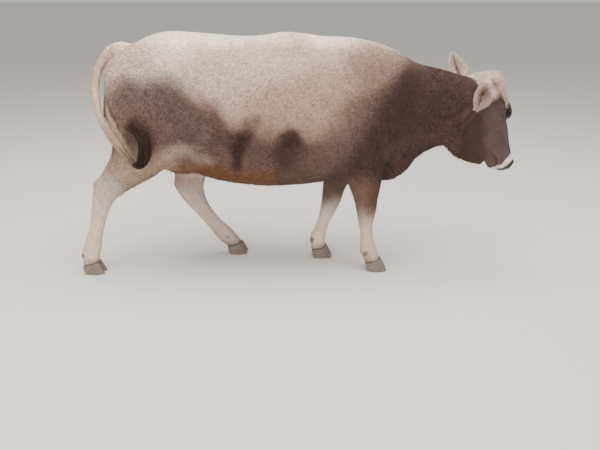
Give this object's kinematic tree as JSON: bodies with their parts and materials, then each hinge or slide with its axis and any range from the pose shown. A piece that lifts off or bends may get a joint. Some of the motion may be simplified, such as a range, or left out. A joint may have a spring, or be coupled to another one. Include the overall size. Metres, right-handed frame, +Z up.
{
  "type": "cow figure",
  "caption": "Life-size still figure of a brown dairy cow in mid-walk, head lowered and turned aside, tail swung to one side.",
  "frame": {"origin": "centre of the figure's extent in plan, on the floor it stands on", "axes": "+X the way the cow faces, from tail to head; +Y to her left; +Z up"},
  "size_m": [2.3268, 0.6434, 1.254],
  "materials": {
    "coat_light": "short pale hair",
    "coat_brown": "short brown hair",
    "coat_white": "short cream hair",
    "horn": "worn horn",
    "eye": "wet gloss",
    "udder": "thin bare skin"
  },
  "bodies": {
    "root": {"torso": "coat_light", "udder": "udder", "tail_switch": "coat_brown", "neck": "coat_brown", "head": "coat_brown", "eye_left": "eye", "eye_right": "eye", "forelock": "coat_white", "tail": "coat_white", "ear_left": "coat_white", "ear_right": "coat_white", "leg_fore_right_upper": "coat_white", "leg_fore_right_lower": "coat_white", "leg_fore_left_upper": "coat_white", "leg_fore_left_lower": "coat_white", "leg_hind_right_upper": "coat_white", "leg_hind_right_lower": "coat_white", "leg_hind_left_upper": "coat_white", "leg_hind_left_lower": "coat_white", "claw_fore_right_right": "horn", "claw_fore_right_left": "horn", "claw_fore_left_right": "horn", "claw_fore_left_left": "horn", "claw_hind_right_right": "horn", "claw_hind_right_left": "horn", "claw_hind_left_right": "horn", "claw_hind_left_left": "horn"}
  },
  "joints": []
}
